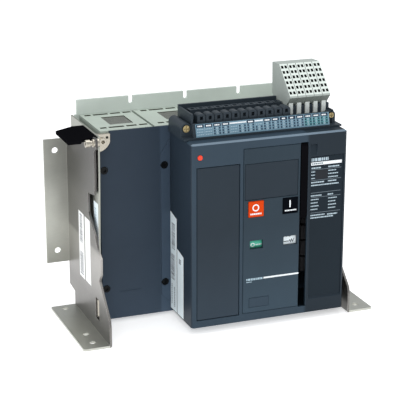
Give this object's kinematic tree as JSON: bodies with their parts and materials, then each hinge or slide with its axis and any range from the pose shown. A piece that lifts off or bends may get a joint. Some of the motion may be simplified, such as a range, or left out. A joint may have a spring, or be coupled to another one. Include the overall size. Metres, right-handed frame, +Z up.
{
  "type": "air circuit breaker",
  "caption": "Fixed multi-pole air circuit breaker on side brackets, with arc chutes, push buttons, charging handle, plug-in control terminals and rear terminals.",
  "frame": {"origin": "centre of the four outer foot holes, on the underside of the feet", "axes": "+X to the breaker's right seen from the front, -Y out of the front cover, +Z up"},
  "size_m": [0.436, 0.241, 0.357],
  "materials": {
    "casing_grey": "fine-grained moulded resin",
    "slate_cover": "fine satin-grained moulded plastic",
    "slate_panel": "satin-grained moulded plastic",
    "plate_dark": "satin printed plate",
    "black_plastic": "satin black plastic",
    "steel_bracket": "zinc-plated sheet steel",
    "steel_sheet": "zinc-plated sheet steel",
    "steel_part": "turned and pressed steel",
    "spring_steel": "drawn spring wire",
    "brass": "plated screw head",
    "black_screw": "blackened steel",
    "copper": "silver-plated copper",
    "red_button": "smooth moulded plastic",
    "black_button": "smooth moulded plastic",
    "reset_red": "smooth moulded plastic",
    "flag_green": "printed drum",
    "flag_white": "printed flag",
    "label_white": "printed film label",
    "strip_blue": "printed marking strip",
    "terminal_grey": "moulded polyamide",
    "mould_inner": "glass-filled moulding",
    "coil_resin": "encapsulated coil"
  },
  "bodies": {
    "breaker": {"rear_housing": "casing_grey", "arc_chute_1": "casing_grey", "arc_chute_2": "casing_grey", "arc_chute_3": "casing_grey", "arc_chute_4": "casing_grey", "pole_casing": "slate_panel", "front_cover": "slate_cover", "blank_panel": "slate_cover", "operator_panel": "slate_cover", "upper_plate": "slate_cover", "nameplate": "plate_dark", "side_tab": "black_plastic", "terminal_carrier": "black_plastic", "control_plugs": "black_plastic", "mounting_bracket_left": "steel_bracket", "mounting_bracket_right": "steel_bracket", "side_sheet_left": "steel_sheet", "side_sheet_right": "steel_sheet", "corner_bracket": "steel_part", "bracket_fixings": "steel_part", "support_pin": "steel_part", "deion_plates": "steel_part", "mechanism_frame": "steel_part", "closing_spring": "spring_steel", "cover_screws": "brass", "casing_screws": "black_screw", "upper_terminal_1": "copper", "upper_terminal_2": "copper", "upper_terminal_3": "copper", "upper_terminal_4": "copper", "lower_terminal_1": "copper", "lower_terminal_2": "copper", "lower_terminal_3": "copper", "lower_terminal_4": "copper", "side_labels": "label_white", "label_strip": "strip_blue", "gear_motor": "coil_resin", "release_coils": "coil_resin", "auxiliary_contacts": "coil_resin"},
    "off_button": {"off_button": "red_button"},
    "on_button": {"on_button": "black_button"},
    "reset_button": {"reset_button": "reset_red"},
    "padlock_tab": {"padlock_tab": "slate_cover"},
    "position_indicator": {"position_indicator": "flag_green"},
    "spring_indicator": {"spring_indicator": "flag_white"},
    "charging_handle": {"charging_handle": "black_plastic"},
    "pole_shaft": {"pole_shaft": "steel_part"},
    "cam_shaft": {"cam_shaft": "steel_part"},
    "motor_pinion": {"motor_pinion": "steel_part"},
    "spring_plunger": {"spring_plunger": "steel_part"},
    "latch_bar": {"latch_bar": "steel_part"},
    "terminal_block": {"terminal_block": "terminal_grey"},
    "moving_contact_1": {"moving_contact_1": "mould_inner"},
    "drive_link_1": {"drive_link_1": "mould_inner"},
    "moving_contact_2": {"moving_contact_2": "mould_inner"},
    "drive_link_2": {"drive_link_2": "mould_inner"},
    "moving_contact_3": {"moving_contact_3": "mould_inner"},
    "drive_link_3": {"drive_link_3": "mould_inner"},
    "moving_contact_4": {"moving_contact_4": "mould_inner"},
    "drive_link_4": {"drive_link_4": "mould_inner"}
  },
  "joints": [
    {"name": "off_button_press", "type": "slide", "parent": "breaker", "child": "off_button", "axis": [0, 1, 0], "range_m": [0, 0.0035], "stiffness_N_per_m": 900, "springref_m": -0.001},
    {"name": "on_button_press", "type": "slide", "parent": "breaker", "child": "on_button", "axis": [0, 1, 0], "range_m": [0, 0.0035], "stiffness_N_per_m": 900, "springref_m": -0.001},
    {"name": "reset_press", "type": "slide", "parent": "breaker", "child": "reset_button", "axis": [0, 1, 0], "range_m": [0, 0.0012], "stiffness_N_per_m": 500, "springref_m": -0.001},
    {"name": "padlock_tab_pull", "type": "slide", "parent": "breaker", "child": "padlock_tab", "axis": [0, -1, 0], "range_m": [0, 0.02]},
    {"name": "indicator_turn", "type": "hinge", "parent": "breaker", "child": "position_indicator", "pos_m": [0.0337, -0.0696, 0.1222], "axis": [1, 0, 0], "range_deg": [0, 90]},
    {"name": "spring_flag_lift", "type": "slide", "parent": "breaker", "child": "spring_indicator", "axis": [0, 0, 1], "range_m": [0, 0.0135]},
    {"name": "handle_swing", "type": "hinge", "parent": "breaker", "child": "charging_handle", "pos_m": [0.1051, -0.0526, 0.14], "axis": [1, 0, 0], "range_deg": [0, 95], "stiffness_Nm_per_rad": 0.12, "springref_deg": -22.92},
    {"name": "pole_shaft_turn", "type": "hinge", "parent": "breaker", "child": "pole_shaft", "pos_m": [0, 0.0174, 0.128], "axis": [-1, 0, 0], "range_deg": [0, 40], "stiffness_Nm_per_rad": 3, "springref_deg": -28.65},
    {"name": "contact_swing_1", "type": "hinge", "parent": "breaker", "child": "moving_contact_1", "pos_m": [-0.126, 0.0594, 0.085], "axis": [-1, 0, 0], "range_deg": [0, 13]},
    {"name": "link_turn_1", "type": "hinge", "parent": "pole_shaft", "child": "drive_link_1", "pos_m": [-0.126, 0.01184, 0.14512], "axis": [1, 0, 0], "range_deg": [0, 51.8]},
    {"name": "contact_swing_2", "type": "hinge", "parent": "breaker", "child": "moving_contact_2", "pos_m": [-0.042, 0.0594, 0.085], "axis": [-1, 0, 0], "range_deg": [0, 13]},
    {"name": "link_turn_2", "type": "hinge", "parent": "pole_shaft", "child": "drive_link_2", "pos_m": [-0.042, 0.01184, 0.14512], "axis": [1, 0, 0], "range_deg": [0, 51.8]},
    {"name": "contact_swing_3", "type": "hinge", "parent": "breaker", "child": "moving_contact_3", "pos_m": [0.042, 0.0594, 0.085], "axis": [-1, 0, 0], "range_deg": [0, 13]},
    {"name": "link_turn_3", "type": "hinge", "parent": "pole_shaft", "child": "drive_link_3", "pos_m": [0.042, 0.01184, 0.14512], "axis": [1, 0, 0], "range_deg": [0, 51.8]},
    {"name": "contact_swing_4", "type": "hinge", "parent": "breaker", "child": "moving_contact_4", "pos_m": [0.126, 0.0594, 0.085], "axis": [-1, 0, 0], "range_deg": [0, 13]},
    {"name": "link_turn_4", "type": "hinge", "parent": "pole_shaft", "child": "drive_link_4", "pos_m": [0.126, 0.01184, 0.14512], "axis": [1, 0, 0], "range_deg": [0, 51.8]},
    {"name": "cam_turn", "type": "hinge", "parent": "breaker", "child": "cam_shaft", "pos_m": [0.06, -0.0356, 0.195], "axis": [1, 0, 0], "continuous": true},
    {"name": "pinion_turn", "type": "hinge", "parent": "breaker", "child": "motor_pinion", "pos_m": [0.039, -0.0356, 0.153], "axis": [1, 0, 0], "continuous": true},
    {"name": "plunger_press", "type": "slide", "parent": "breaker", "child": "spring_plunger", "axis": [0, 0, -1], "range_m": [0, 0.02], "stiffness_N_per_m": 3000, "springref_m": -0.006, "deforming": ["closing_spring"]},
    {"name": "latch_turn", "type": "hinge", "parent": "breaker", "child": "latch_bar", "pos_m": [0.06, -0.0576, 0.232], "axis": [1, 0, 0], "range_deg": [0, 20], "stiffness_Nm_per_rad": 0.06, "springref_deg": -17.19},
    {"name": "terminal_block_lift", "type": "slide", "parent": "breaker", "child": "terminal_block", "axis": [0, 0, 1], "range_m": [0, 0.03]}
  ],
  "couplings": [
    {"joint": "indicator_turn", "follows": "pole_shaft_turn", "ratio": 2.25},
    {"joint": "contact_swing_1", "follows": "pole_shaft_turn", "ratio": 0.325},
    {"joint": "link_turn_1", "follows": "pole_shaft_turn", "ratio": 1.2945},
    {"joint": "contact_swing_2", "follows": "pole_shaft_turn", "ratio": 0.325},
    {"joint": "link_turn_2", "follows": "pole_shaft_turn", "ratio": 1.2945},
    {"joint": "contact_swing_3", "follows": "pole_shaft_turn", "ratio": 0.325},
    {"joint": "link_turn_3", "follows": "pole_shaft_turn", "ratio": 1.2945},
    {"joint": "contact_swing_4", "follows": "pole_shaft_turn", "ratio": 0.325},
    {"joint": "link_turn_4", "follows": "pole_shaft_turn", "ratio": 1.2945},
    {"joint": "pinion_turn", "follows": "cam_turn", "ratio": -2.5}
  ]
}
